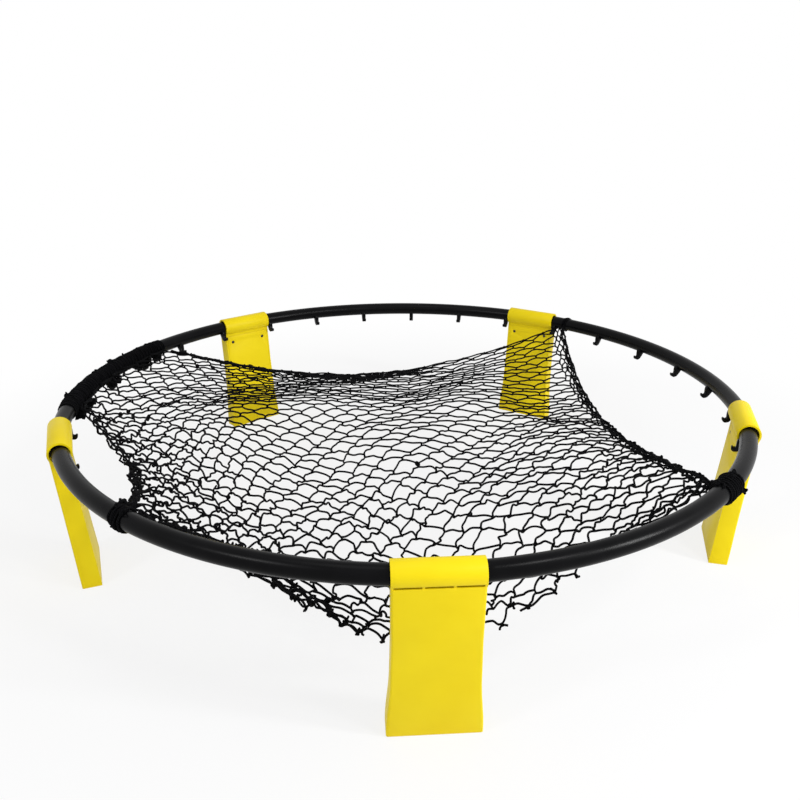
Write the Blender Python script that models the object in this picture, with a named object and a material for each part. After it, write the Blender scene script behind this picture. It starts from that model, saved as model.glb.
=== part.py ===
"""Roundnet set: a ring of five black tubes on five yellow folding legs, with a slack net.

Metres, +Z up. The origin is on the ground under the middle of the ring, and one leg points to -Y.
Each leg turns about the straight sleeve that joins two rim tubes inside its cuff.
"""
import math

import bmesh
import bpy
from mathutils import Matrix, Vector

# Driving dimensions
RING_RADIUS = 0.447          # middle of the rim tube
RING_HEIGHT = 0.182          # middle of the rim tube above the ground
LEG_COUNT = 5
TUBE_RADIUS = 0.0103
TUBE_WALL = 0.0021
TUBE_SIDES = 12
SPIGOT_RADIUS = 0.0072
SPIGOT_WALL = 0.0018
SPIGOT_LENGTH = 0.0185
ARC_STEP = 5.3               # degrees between two rings of a rim tube

SLEEVE_HALF = 0.0360         # half length of the sleeve inside a cuff
SLEEVE_RADIUS = 0.0114
SLEEVE_WALL = 0.0032
ROUND_SIDES = 24
RUN_GAP = 0.0004             # a cuff on its sleeve
SEAT_GAP = 0.0003            # touching pieces

CUFF_HALF = 0.0424           # half width of a leg's cuff
CUFF_WALL = 0.0025
LEG_WALL = 0.0025
LIP_DROP = 0.0055            # top edge of the outer panel below the hinge
LIP_PROUD = 0.0004           # the panel's top edge stands this far past the cuff
CREASE_DROP = 0.0117         # where the inner face meets the cuff
FOOT_OUT = 0.0004            # outer edge of the foot, from the hinge
FOOT_DEPTH = 0.0235          # thickness of the foot
FOOT_ROUND = 0.0040           # height of the foot's rounded end
FOOT_ROUND_IN = 0.0016       # the same end, in from each side
EDGE_CHAMFER = 0.0016
ROOF_WALL = 0.0015           # material between the cuff and the hollow below it
WAIST_HALF = 0.0418
KNEE_HALF = 0.0432
FOOT_HALF = 0.0470
WAIST_DROP = 0.070
KNEE_DROP = 0.130
FLARE_DROP = 0.168

SLOT_HEIGHT = 0.0030
SLOT_DEPTH = 0.0016
SLOT_RIB = 0.0026
SLOT_END = 0.0026
SLOT_UNDER = 0.0003          # floor of the slot below the panel's top edge

COVER_THICK = 0.0022
COVER_CHAMFER = 0.0002
SCREW_SPREAD = 0.0295        # half the distance between a cover's two screws
SCREW_DROP = 0.0270
SCREW_RADIUS = 0.0013
SCREW_HEAD = 0.0024
SCREW_HEAD_THICK = 0.0011
SCREW_LENGTH = 0.0095
BOSS_RADIUS = 0.0042
BOSS_BORE_DEPTH = 0.0110
BOSS_SIDES = 16
SCREW_SIDES = 12
OVERRUN = 0.0100             # a cutting shape past what it cuts

HOOKS_PER_TUBE = 6
HOOK_WIDTH = 0.0066          # along the ring
HOOK_SPACING = 11.92         # degrees between the hooks of one tube
HOOK_NECK = 0.0022           # thickness where the sloping gusset ends
HOOK_TOE = 0.0056            # the toe, inward of the neck
HOOK_TOE_HEIGHT = 0.0053
HOOK_ROUND = 0.0010
GUSSET_TOP = 16.0            # degrees below level where the hook leaves the tube, inside
GUSSET_END = 66.0            # and underneath
HOOK_DROP = 0.0192           # toe below the middle of the tube
HOOK_REACH = 0.0178          # toe inward of the middle of the tube
HOOK_BITE = 0.0011           # root sunk into the tube's wall

STRAND_WIDTH = 0.0030
STRAND_THICK = 0.0024
NET_COLUMNS = 13
NET_ROWS = 10
WRAP_GAP = 0.0004            # net loop round a rim tube
WRAP_SIDES = 10
WRAP_PITCH = 0.0060          # a loop's two ends, along the tube
BACK_CORNERS = (150.0, 45.0)      # where the net's corners are tied, in degrees round the ring
FRONT_CORNERS = (-117.0, -43.0)
LEFT_TIES = (161.0, 172.0, 183.0)  # more ties, down the left side from the back
LEFT_TIES_LOW = (-134.0, -125.0)
BACK_SAG = 0.066
RIGHT_SAG = 0.059
RIGHT_PULL = 0.015           # a free edge drawn in to the middle of the net
RIGHT_SKEW = 0.84
LEFT_SAG = 0.022
LEFT_PULL = 0.025
LEFT_SKEW = 1.3
HEM_DROP = 0.117             # the loose front edge below its corners
HEM_BULGE = 0.042            # the loose front edge forward of the line between its corners
HEM_SKEW = 1.39
HEM_POWER = 1.06
MIDDLE_LIFT = 0.056          # the middle above what the four edges alone would give
RIPPLE = 0.0045
RIPPLE_WAVES = ((9.1, 17.3), (21.7, -8.3), (15.1, 11.9))   # across and along, for x, y and z

HINGE_RADIUS = RING_RADIUS - CUFF_HALF ** 2 / (4 * RING_RADIUS)
CUFF_BORE = SLEEVE_RADIUS + RUN_GAP
CUFF_RADIUS = CUFF_BORE + CUFF_WALL
ROOF_DROP = CUFF_RADIUS + ROOF_WALL
SLEEVE_BORE = SLEEVE_RADIUS - SLEEVE_WALL
STEP_ANGLE = 360.0 / LEG_COUNT


def clear_scene():
    for old in list(bpy.data.objects):
        bpy.data.objects.remove(old, do_unlink=True)


def make_material(name, colour, roughness, metallic=0.0):
    material = bpy.data.materials.new(name)
    material.use_nodes = True
    shader = material.node_tree.nodes["Principled BSDF"]
    shader.inputs["Base Color"].default_value = (*colour, 1.0)
    shader.inputs["Roughness"].default_value = roughness
    shader.inputs["Metallic"].default_value = metallic
    return material


def mesh_from(name, verts, faces):
    mesh = bpy.data.meshes.new(name)
    mesh.from_pydata([tuple(v) for v in verts], [], faces)
    mesh.validate()
    work = bmesh.new()
    work.from_mesh(mesh)
    bmesh.ops.recalc_face_normals(work, faces=work.faces)
    work.to_mesh(mesh)
    work.free()
    return mesh


def add_object(name, mesh, matrix=None, hidden=False):
    thing = bpy.data.objects.new(name, mesh)
    bpy.context.collection.objects.link(thing)
    if matrix is not None:
        thing.matrix_world = matrix
    if hidden:
        thing.hide_render = True
        thing.display_type = "WIRE"
    return thing


def loft(name, rings, closed=False):
    """A skin over rings of equal length, capped at both ends or closed on itself."""
    count = len(rings[0])
    verts = [p for ring in rings for p in ring]
    faces = []
    for level in range(len(rings) if closed else len(rings) - 1):
        low = level * count
        high = (low + count) % len(verts)
        for k in range(count):
            after = (k + 1) % count
            faces.append((low + k, low + after, high + after, high + k))
    if not closed:
        faces.append(tuple(range(count)))
        faces.append(tuple(range(len(verts) - count, len(verts))))
    return mesh_from(name, verts, faces)


def rod(name, radius, start, end, sides=ROUND_SIDES):
    """A round bar between two points."""
    axis = (Vector(end) - Vector(start)).normalized()
    side = axis.orthogonal().normalized()
    other = axis.cross(side)
    rings = []
    for centre in (Vector(start), Vector(end)):
        ring = []
        for k in range(sides):
            turn = 2 * math.pi * (k + 0.5) / sides
            ring.append(centre + radius * (math.cos(turn) * side + math.sin(turn) * other))
        rings.append(ring)
    return loft(name, rings)


def box(name, low, high):
    corners = [(low[0], low[1]), (high[0], low[1]), (high[0], high[1]), (low[0], high[1])]
    return loft(name, [[Vector((x, y, z)) for x, y in corners] for z in (low[2], high[2])])


def cut(base_mesh, steps):
    """Run a list of (operation, mesh) on a mesh with exact Booleans and return the result."""
    base = add_object("work", base_mesh)
    tools = []
    for index, (operation, tool_mesh) in enumerate(steps):
        tool = add_object(f"tool_{index}", tool_mesh, hidden=True)
        tools.append(tool)
        step = base.modifiers.new(f"step_{index}", "BOOLEAN")
        step.operation = operation
        step.solver = "EXACT"
        step.object = tool
    bpy.context.view_layer.update()
    graph = bpy.context.evaluated_depsgraph_get()
    result = bpy.data.meshes.new_from_object(base.evaluated_get(graph))
    for thing in [base] + tools:
        bpy.data.objects.remove(thing, do_unlink=True)
    work = bmesh.new()
    work.from_mesh(result)
    bmesh.ops.remove_doubles(work, verts=work.verts, dist=1e-6)
    bmesh.ops.dissolve_limit(work, angle_limit=math.radians(0.5), verts=work.verts, edges=work.edges)
    bmesh.ops.triangulate(work, faces=work.faces)
    bmesh.ops.dissolve_degenerate(work, edges=work.edges, dist=1e-6)
    work.to_mesh(result)
    work.free()
    return result


def on_ring(degrees, radius=RING_RADIUS, height=RING_HEIGHT):
    turn = math.radians(degrees)
    return Vector((radius * math.cos(turn), radius * math.sin(turn), height))


def hinge_frame(leg_angle):
    """Local X outward, Y along the rim, Z up, origin on the leg's hinge."""
    spot = on_ring(leg_angle, HINGE_RADIUS)
    return Matrix.Translation(spot) @ Matrix.Rotation(math.radians(leg_angle), 4, "Z")


def tube_ring(degrees, radius):
    """One cross-section of a rim tube, square to the ring."""
    centre = on_ring(degrees)
    outward = on_ring(degrees, 1.0, 0.0)
    ring = []
    for k in range(TUBE_SIDES):
        turn = 2 * math.pi * k / TUBE_SIDES
        ring.append(centre + radius * (math.cos(turn) * outward + math.sin(turn) * Vector((0, 0, 1))))
    return ring


def rim_tube_mesh():
    """One hollow 72 degree tube, with a thinner spigot at each end, centred on +X."""
    to_angle = math.degrees(1.0 / RING_RADIUS)
    shoulder = SLEEVE_HALF + SEAT_GAP + TUBE_RADIUS * math.sin(SLEEVE_HALF / RING_RADIUS)
    shoulder_angle = STEP_ANGLE / 2 - shoulder * to_angle
    tip_angle = shoulder_angle + SPIGOT_LENGTH * to_angle
    steps = max(4, round(2 * shoulder_angle / ARC_STEP))
    stations = [-shoulder_angle + 2 * shoulder_angle * k / steps for k in range(steps + 1)]
    inner_step = TUBE_WALL * to_angle
    bore = TUBE_RADIUS - TUBE_WALL
    thin = SPIGOT_RADIUS - SPIGOT_WALL
    rings = [tube_ring(-tip_angle, SPIGOT_RADIUS), tube_ring(-shoulder_angle, SPIGOT_RADIUS)]
    rings += [tube_ring(angle, TUBE_RADIUS) for angle in stations]
    rings += [tube_ring(shoulder_angle, SPIGOT_RADIUS), tube_ring(tip_angle, SPIGOT_RADIUS)]
    rings += [tube_ring(tip_angle, thin), tube_ring(shoulder_angle - inner_step, thin)]
    inner = [tube_ring(angle, bore) for angle in reversed(stations[1:-1])]
    rings += [tube_ring(shoulder_angle - inner_step, bore)] + inner
    rings += [tube_ring(-shoulder_angle + inner_step, bore), tube_ring(-shoulder_angle + inner_step, thin)]
    rings.append(tube_ring(-tip_angle, thin))
    return loft("rim_tube", rings, closed=True)


def hook_outline():
    """Side view of a hook in (outward, up) from the middle of the tube: gusset, neck and toe."""
    root = TUBE_RADIUS - HOOK_BITE
    neck_in = -HOOK_REACH + HOOK_TOE
    neck_out = neck_in + HOOK_NECK
    top, end = math.radians(GUSSET_TOP), math.radians(GUSSET_END)
    return [
        Vector((-root * math.cos(top), -root * math.sin(top))),
        Vector((-root * math.cos(end), -root * math.sin(end))),
        Vector((neck_out, -HOOK_DROP)),
        Vector((neck_in - HOOK_NECK, -HOOK_DROP - HOOK_ROUND)),
        Vector((-HOOK_REACH, -HOOK_DROP + HOOK_ROUND)),
        Vector((-HOOK_REACH, -HOOK_DROP + HOOK_TOE_HEIGHT)),
        Vector((-HOOK_REACH + 2 * HOOK_ROUND, -HOOK_DROP + HOOK_TOE_HEIGHT)),
        Vector((neck_in, -HOOK_DROP + HOOK_TOE_HEIGHT - HOOK_ROUND)),
        Vector((neck_in, -TUBE_RADIUS / 2)),
    ]


def hook_mesh(degrees):
    outward = on_ring(degrees, 1.0, 0.0)
    along = Vector((-outward.y, outward.x, 0.0))
    rings = []
    for side in (-0.5, 0.5):
        ring = []
        for point in hook_outline():
            spot = on_ring(degrees) + point.x * outward + point.y * Vector((0, 0, 1))
            ring.append(spot + side * HOOK_WIDTH * along)
        rings.append(ring)
    return loft("hook", rings)


def hook_angles():
    """Hooks on one tube, measured from its middle."""
    return [HOOK_SPACING * (k - (HOOKS_PER_TUBE - 1) / 2) for k in range(HOOKS_PER_TUBE)]


def half_width(drop):
    """Half width of a leg at a depth below its hinge."""
    levels = [(0.0, CUFF_HALF), (WAIST_DROP, WAIST_HALF), (KNEE_DROP, KNEE_HALF), (FLARE_DROP, FOOT_HALF),
              (RING_HEIGHT, FOOT_HALF)]
    for (upper, wide_a), (lower, wide_b) in zip(levels, levels[1:]):
        if drop <= lower:
            return wide_a + (wide_b - wide_a) * (drop - upper) / (lower - upper)
    return FOOT_HALF


def outer_x(drop):
    lip = CUFF_RADIUS + LIP_PROUD - LIP_DROP ** 2 / (2 * CUFF_RADIUS)
    return lip + (FOOT_OUT - lip) * (drop - LIP_DROP) / (RING_HEIGHT - LIP_DROP)


def inner_x(drop):
    crease = -math.sqrt(CUFF_RADIUS ** 2 - CREASE_DROP ** 2)
    foot = FOOT_OUT - FOOT_DEPTH
    return crease + (foot - crease) * (drop - CREASE_DROP) / (RING_HEIGHT - CREASE_DROP)


def leg_ring(drop, x_in, x_out, half, chamfer):
    """A rectangle with its two outer corners cut, at one depth below the hinge."""
    flat = [(x_in, -half), (x_out - chamfer, -half), (x_out, -half + chamfer),
            (x_out, half - chamfer), (x_out - chamfer, half), (x_in, half)]
    return [Vector((x, y, -drop)) for x, y in flat]


def leg_drops(top, bottom):
    inside = [d for d in (WAIST_DROP, KNEE_DROP, FLARE_DROP) if top < d < bottom]
    return [top] + inside + [bottom]


def leg_shell_mesh():
    """Cuff, outer panel, side walls and foot in one piece, open towards the ring's middle."""
    rings = []
    for drop in leg_drops(LIP_DROP, RING_HEIGHT - FOOT_ROUND):
        rings.append(leg_ring(drop, inner_x(drop), outer_x(drop), half_width(drop), EDGE_CHAMFER))
    rings.append(leg_ring(RING_HEIGHT, inner_x(RING_HEIGHT), outer_x(RING_HEIGHT), FOOT_HALF - FOOT_ROUND_IN,
                          EDGE_CHAMFER))
    body = loft("leg_body", rings)
    cuff = rod("cuff", CUFF_RADIUS, (0, -CUFF_HALF, 0), (0, CUFF_HALF, 0))
    hollow_rings = []
    for drop in leg_drops(ROOF_DROP, RING_HEIGHT - LEG_WALL):
        half = half_width(drop) - LEG_WALL
        wall = outer_x(drop) - LEG_WALL
        hollow_rings.append(leg_ring(drop, inner_x(drop) - OVERRUN, wall, half, EDGE_CHAMFER))
    hollow = loft("hollow", hollow_rings)
    steps = [("UNION", cuff), ("DIFFERENCE", hollow)]
    for side in (-1, 1):
        seat = inner_x(SCREW_DROP - BOSS_RADIUS) + COVER_THICK + SEAT_GAP
        spot = side * SCREW_SPREAD
        wall = outer_x(SCREW_DROP) - LEG_WALL / 2
        steps.append(("UNION", rod("boss", BOSS_RADIUS, (seat, spot, -SCREW_DROP), (wall, spot, -SCREW_DROP),
                                   BOSS_SIDES)))
        hole = SCREW_RADIUS + SEAT_GAP
        end = min(seat + BOSS_BORE_DEPTH, outer_x(SCREW_DROP) - LEG_WALL)
        steps.append(("DIFFERENCE", rod("hole", hole, (seat - OVERRUN, spot, -SCREW_DROP),
                                        (end, spot, -SCREW_DROP), SCREW_SIDES)))
    bore = rod("bore", CUFF_BORE, (0, -CUFF_HALF - OVERRUN, 0), (0, CUFF_HALF + OVERRUN, 0))
    steps.append(("DIFFERENCE", bore))
    usable = 2 * (CUFF_HALF - SLOT_END)
    length = (usable - 2 * SLOT_RIB) / 3
    for k in range(3):
        start = -CUFF_HALF + SLOT_END + k * (length + SLOT_RIB)
        low = (outer_x(LIP_DROP) - LIP_PROUD - SLOT_DEPTH, start, -LIP_DROP - SLOT_UNDER)
        high = (outer_x(LIP_DROP) + OVERRUN, start + length, -LIP_DROP + SLOT_HEIGHT)
        steps.append(("DIFFERENCE", box("slot", low, high)))
    return cut(body, steps)


def leg_cover_mesh():
    """Inner panel of a leg, let in between the side walls."""
    rings = []
    for drop in leg_drops(ROOF_DROP + SEAT_GAP, RING_HEIGHT - LEG_WALL - SEAT_GAP):
        half = half_width(drop) - LEG_WALL - SEAT_GAP
        rings.append(leg_ring(drop, inner_x(drop), inner_x(drop) + COVER_THICK, half, COVER_CHAMFER))
    plate = loft("leg_cover", rings)
    steps = []
    for side in (-1, 1):
        spot = side * SCREW_SPREAD
        face = inner_x(SCREW_DROP)
        hole = SCREW_RADIUS + SEAT_GAP
        sink = SCREW_HEAD + SEAT_GAP
        steps.append(("DIFFERENCE", rod("hole", hole, (face - OVERRUN, spot, -SCREW_DROP),
                                        (face + OVERRUN, spot, -SCREW_DROP), SCREW_SIDES)))
        steps.append(("DIFFERENCE", rod("sink", sink, (face - OVERRUN, spot, -SCREW_DROP),
                                        (face + SCREW_HEAD_THICK, spot, -SCREW_DROP), SCREW_SIDES)))
    return cut(plate, steps)


def screw_mesh(side):
    """Small screw, its head sunk in the cover and its shank in the boss."""
    face = inner_x(SCREW_DROP)
    spot = side * SCREW_SPREAD
    back = face + SCREW_HEAD_THICK - SEAT_GAP
    tip = face + SCREW_LENGTH
    rings = []
    for x, radius in ((face, SCREW_HEAD), (back, SCREW_HEAD), (back, SCREW_RADIUS), (tip, SCREW_RADIUS)):
        ring = []
        for k in range(SCREW_SIDES):
            turn = 2 * math.pi * k / SCREW_SIDES
            ring.append(Vector((x, spot + radius * math.cos(turn), -SCREW_DROP + radius * math.sin(turn))))
        rings.append(ring)
    return loft("screw", rings)


def sleeve_mesh():
    """Straight sleeve inside a cuff, which takes a spigot from each side."""
    rings = []
    for y, radius in ((-SLEEVE_HALF, SLEEVE_RADIUS), (SLEEVE_HALF, SLEEVE_RADIUS), (SLEEVE_HALF, SLEEVE_BORE),
                      (-SLEEVE_HALF, SLEEVE_BORE)):
        ring = []
        for k in range(ROUND_SIDES):
            turn = 2 * math.pi * (k + 0.5) / ROUND_SIDES
            ring.append(Vector((radius * math.cos(turn), y, radius * math.sin(turn))))
        rings.append(ring)
    return loft("sleeve", rings, closed=True)


def tie_radius():
    """Corner radius of the many-sided loop that just clears a rim tube."""
    return (TUBE_RADIUS + WRAP_GAP + STRAND_WIDTH / 2) / math.cos(math.pi / WRAP_SIDES)


def tie_point(degrees, turn=0.0, along=0.0):
    """A point of a tie loop: turn 0 is its innermost point, and along runs round the ring."""
    shift = math.degrees(along / RING_RADIUS)
    radius = RING_RADIUS - tie_radius() * math.cos(turn)
    return on_ring(degrees + shift, radius, RING_HEIGHT + tie_radius() * math.sin(turn))


def sagging(start, end, share, sag, pull=0.0, skew=1.0):
    """A free edge between two ties, which hangs down and is drawn in to the middle of the net."""
    bow = math.sin(math.pi * share ** skew)
    inward = -(start + end)
    inward.z = 0.0
    point = start.lerp(end, share) + pull * bow * inward.normalized()
    point.z -= sag * bow
    return point


def back_edge(share):
    return sagging(tie_point(BACK_CORNERS[0]), tie_point(BACK_CORNERS[1]), share, BACK_SAG)


def right_edge(share):
    start, end = tie_point(BACK_CORNERS[1]), tie_point(FRONT_CORNERS[1])
    return sagging(start, end, share, RIGHT_SAG, RIGHT_PULL, RIGHT_SKEW)


def front_edge(share):
    """The loose hem, which hangs below the rim and bulges forward."""
    point = tie_point(FRONT_CORNERS[0]).lerp(tie_point(FRONT_CORNERS[1]), share)
    back = (1 - share) ** HEM_SKEW
    point.z -= HEM_DROP * abs(math.sin(math.pi * back)) ** HEM_POWER
    point.y -= HEM_BULGE * math.sin(math.pi * share)
    return point


def left_edge(share):
    """Tied along the rim at the back and again at the front, with a free stretch between."""
    upper = [BACK_CORNERS[0], *LEFT_TIES]
    lower = [*LEFT_TIES_LOW, FRONT_CORNERS[0]]
    row = share * NET_ROWS
    last = len(upper) - 1
    first = NET_ROWS - len(lower) + 1
    if row <= last:
        k = min(int(row), last - 1)
        return tie_point(upper[k]).lerp(tie_point(upper[k + 1]), row - k)
    if row >= first:
        k = min(int(row) - first, len(lower) - 2)
        return tie_point(lower[k]).lerp(tie_point(lower[k + 1]), row - first - k)
    share = (row - last) / (first - last)
    return sagging(tie_point(upper[-1]), tie_point(lower[0]), share, LEFT_SAG, LEFT_PULL, LEFT_SKEW)


def net_point(u, v):
    """The slack net: u runs left to right, v back to front, stretched between its four edges."""
    corners = (back_edge(0) * (1 - u) + back_edge(1) * u) * (1 - v)
    corners += (front_edge(0) * (1 - u) + front_edge(1) * u) * v
    point = back_edge(u) * (1 - v) + front_edge(u) * v + left_edge(v) * (1 - u) + right_edge(v) * u - corners
    inside = 16 * u * (1 - u) * v * (1 - v)
    point.z += MIDDLE_LIFT * inside
    wave = min(1.0, 3 * inside) * RIPPLE
    return point + wave * Vector([math.sin(across * u + down * v) for across, down in RIPPLE_WAVES])


def net_cells():
    """Diamond cells between a grid's corners ("a") and its middles ("b"), and half cells at the edges."""
    cells = []
    for i in range(NET_COLUMNS):
        for j in range(NET_ROWS + 1):
            ends = [("b", i, j - 1)] if j > 0 else []
            ends += [("b", i, j)] if j < NET_ROWS else []
            cells.append([("a", i, j), ends[0], ("a", i + 1, j)] + ends[1:])
    for j in range(NET_ROWS):
        for i in range(NET_COLUMNS + 1):
            ends = [("b", i - 1, j)] if i > 0 else []
            ends += [("b", i, j)] if i < NET_COLUMNS else []
            cells.append([("a", i, j), ends[0], ("a", i, j + 1)] + ends[1:])
    return cells


def net_border():
    """The border's grid corners in order: back edge, right side, front edge, left side."""
    border = [("a", i, 0) for i in range(NET_COLUMNS)]
    border += [("a", NET_COLUMNS, j) for j in range(NET_ROWS)]
    border += [("a", i, NET_ROWS) for i in range(NET_COLUMNS, 0, -1)]
    border += [("a", 0, j) for j in range(NET_ROWS, 0, -1)]
    return border


def net_ties():
    """Which border corners are tied to the rim, and where."""
    ties = {("a", 0, 0): BACK_CORNERS[0], ("a", NET_COLUMNS, 0): BACK_CORNERS[1],
            ("a", 0, NET_ROWS): FRONT_CORNERS[0], ("a", NET_COLUMNS, NET_ROWS): FRONT_CORNERS[1]}
    for k, degrees in enumerate(LEFT_TIES):
        ties[("a", 0, k + 1)] = degrees
    for k, degrees in enumerate(LEFT_TIES_LOW):
        ties[("a", 0, NET_ROWS - len(LEFT_TIES_LOW) + k)] = degrees
    return ties


def tie_cells(cells, border, ties):
    """Split each tied corner in two and close a loop round the tube between the halves."""
    plain = [list(cell) for cell in cells]
    loops = []
    for key in ties:
        place = border.index(key)
        before = border[place - 1]
        after = border[(place + 1) % len(border)]
        first, second = ("tie", key, 0), ("tie", key, 1)
        near = [k for k, cell in enumerate(plain) if key in cell]
        opened = [k for k in near if before not in plain[k] and after not in plain[k]]
        opened = opened or [k for k in near if after in plain[k]]
        side = [name for k in near if before in plain[k] for name in plain[k] if name[0] == "b"][0]
        for k in near:
            spot = cells[k].index(key)
            if k in opened:
                forward = plain[k][plain[k].index(key) - 1] == side
                cells[k][spot:spot + 1] = [first, second] if forward else [second, first]
            else:
                cells[k][spot] = first if before in plain[k] else second
        loops.append([first] + [("turn", key, k) for k in range(1, WRAP_SIDES)] + [second])
    return cells + loops


def net_position(key, ties):
    if key[0] == "a":
        return net_point(key[1] / NET_COLUMNS, key[2] / NET_ROWS)
    if key[0] == "b":
        return net_point((key[1] + 0.5) / NET_COLUMNS, (key[2] + 0.5) / NET_ROWS)
    share = key[2] / WRAP_SIDES if key[0] == "turn" else key[2]
    along = (0.5 - share) * WRAP_PITCH
    return tie_point(ties[key[1]], 2 * math.pi * share, along)


def net_mesh():
    """Strands of one width round every cell, given their thickness by a Solidify."""
    ties = net_ties()
    cells = tie_cells(net_cells(), net_border(), ties)
    keys = []
    for cell in cells:
        keys += [key for key in cell if key not in keys]
    order = {key: k for k, key in enumerate(keys)}
    places = [net_position(key, ties) for key in keys]
    mesh = mesh_from("net", places, [[order[key] for key in cell] for cell in cells])
    work = bmesh.new()
    work.from_mesh(mesh)
    holes = list(work.faces)
    bmesh.ops.inset_individual(work, faces=holes, thickness=STRAND_WIDTH / 2, use_even_offset=True)
    bmesh.ops.delete(work, geom=holes, context="FACES_ONLY")
    work.to_mesh(mesh)
    work.free()
    return mesh


def build():
    clear_scene()
    black = make_material("black_plastic", (0.012, 0.012, 0.014), 0.38)
    yellow = make_material("yellow_plastic", (0.83, 0.68, 0.03), 0.42)
    steel = make_material("screw_steel", (0.22, 0.20, 0.16), 0.45, 0.9)
    cord = make_material("net_cord", (0.008, 0.008, 0.009), 0.8)

    hooks = [("UNION", hook_mesh(angle)) for angle in hook_angles()]
    tube = cut(rim_tube_mesh(), hooks)
    tube.materials.append(black)
    shell = leg_shell_mesh()
    shell.materials.append(yellow)
    cover = leg_cover_mesh()
    cover.materials.append(yellow)
    sleeve = sleeve_mesh()
    sleeve.materials.append(black)
    screws = [screw_mesh(side) for side in (-1, 1)]
    for mesh in screws:
        mesh.materials.append(steel)

    for index in range(LEG_COUNT):
        angle = -90.0 + STEP_ANGLE * index
        number = index + 1
        frame = hinge_frame(angle)
        add_object(f"rim_tube_{number}", tube, Matrix.Rotation(math.radians(angle + STEP_ANGLE / 2), 4, "Z"))
        add_object(f"rim_sleeve_{number}", sleeve, frame)
        add_object(f"leg_shell_{number}", shell, frame)
        add_object(f"leg_cover_{number}", cover, frame)
        add_object(f"cover_screw_{number}_left", screws[0], frame)
        add_object(f"cover_screw_{number}_right", screws[1], frame)

    fabric = net_mesh()
    fabric.materials.append(cord)
    net = add_object("net", fabric)
    thicken = net.modifiers.new("thickness", "SOLIDIFY")
    thicken.thickness = STRAND_THICK
    thicken.offset = 0.0


build()
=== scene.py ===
# %% [markdown]
# # A roundnet set, dressed for its portrait
#
# The real thing is a ring of five black tubes that stands on five yellow folding legs, with a slack
# black net knotted to the tube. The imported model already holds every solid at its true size. This
# lesson loads it as a fixed frame and puts finer pieces and real finishes on it: rounded mouldings,
# small hooks, a net of single strands, and the light of a plain white studio.

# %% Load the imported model
import math
import random

import bmesh
import bpy
import numpy as np
from mathutils import Matrix, Vector


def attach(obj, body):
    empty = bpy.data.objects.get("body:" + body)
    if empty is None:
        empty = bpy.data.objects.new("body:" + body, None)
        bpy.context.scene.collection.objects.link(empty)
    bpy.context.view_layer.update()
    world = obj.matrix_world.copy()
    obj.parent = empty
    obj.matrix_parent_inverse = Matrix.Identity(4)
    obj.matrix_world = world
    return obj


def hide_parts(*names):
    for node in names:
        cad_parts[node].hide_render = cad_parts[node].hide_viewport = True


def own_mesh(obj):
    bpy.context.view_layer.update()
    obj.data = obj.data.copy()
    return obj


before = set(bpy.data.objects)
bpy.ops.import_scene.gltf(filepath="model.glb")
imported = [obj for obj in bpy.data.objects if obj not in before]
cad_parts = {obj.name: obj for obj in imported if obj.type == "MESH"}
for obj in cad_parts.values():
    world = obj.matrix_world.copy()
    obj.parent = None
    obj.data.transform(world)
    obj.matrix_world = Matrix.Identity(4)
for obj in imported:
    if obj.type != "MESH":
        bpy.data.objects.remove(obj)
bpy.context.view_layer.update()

# %% [markdown]
# ## The camera
#
# The picture is taken from a metre in front of the ring's middle and a little over half a metre up,
# looking down by 21.5 degrees. A camera can be placed by eye, or worked out from things of known size.
# Here it was worked out from the two edges of the ring, so that a ring of 914 mm lands on the same
# pixels. The angles become three directions, and a matrix made of them turns the camera without any
# rounding.

# %% Place the camera
EYE = Vector((-0.0716, -1.0332, 0.5783))
LOOK_RIGHT, LOOK_DOWN = 0.0649, 0.3761
LENS, SENSOR = 35.70, 36.0


def add_object(name, data):
    """A new object in the scene, at the origin."""
    thing = bpy.data.objects.new(name, data)
    bpy.context.collection.objects.link(thing)
    return thing


def make_camera():
    ahead = Vector((math.sin(LOOK_RIGHT) * math.cos(LOOK_DOWN), math.cos(LOOK_RIGHT) * math.cos(LOOK_DOWN),
                    -math.sin(LOOK_DOWN)))
    right = Vector((math.cos(LOOK_RIGHT), -math.sin(LOOK_RIGHT), 0.0))
    up = right.cross(ahead)
    data = bpy.data.cameras.new("portrait_camera")
    data.lens, data.sensor_width = LENS, SENSOR
    camera = add_object("portrait_camera", data)
    turn = Matrix((right, up, -ahead)).transposed().to_4x4()
    camera.matrix_world = Matrix.Translation(EYE) @ turn
    bpy.context.scene.camera = camera
    return camera


print("camera at", [round(x, 3) for x in make_camera().location])

# %% [markdown]
# ## Trees of nodes in few words
#
# Every material and every generator below is a tree of nodes. A few small helpers keep such trees
# short: one feeds a node's inputs, one adds a node that is already set up, one does a sum, and one
# starts a material.

# %% Helpers for node trees
def feed(node, inputs):
    """Sets inputs, given by name or number, to values or links them to other nodes' outputs."""
    for label, value in inputs.items():
        if isinstance(value, bpy.types.NodeSocket):
            node.id_data.links.new(value, node.inputs[label])
        else:
            node.inputs[label].default_value = value


def add_node(tree, kind, inputs=None, **settings):
    """A new node with its settings, and then its inputs."""
    node = tree.nodes.new(kind)
    for label, value in settings.items():
        setattr(node, label, value)
    feed(node, inputs or {})
    return node


def calc(tree, operation, *values):
    """The result of a math node."""
    return add_node(tree, "ShaderNodeMath", dict(enumerate(values)), operation=operation).outputs[0]


def plain_material(name, colour, roughness):
    """A material with one colour and roughness, as (material, tree, shader). Textures may be linked later."""
    material = bpy.data.materials.new(name)
    material.use_nodes = True
    shader = material.node_tree.nodes["Principled BSDF"]
    feed(shader, {"Base Color": (*colour, 1), "Roughness": roughness})
    return material, material.node_tree, shader


print("node helpers ready")

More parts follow.
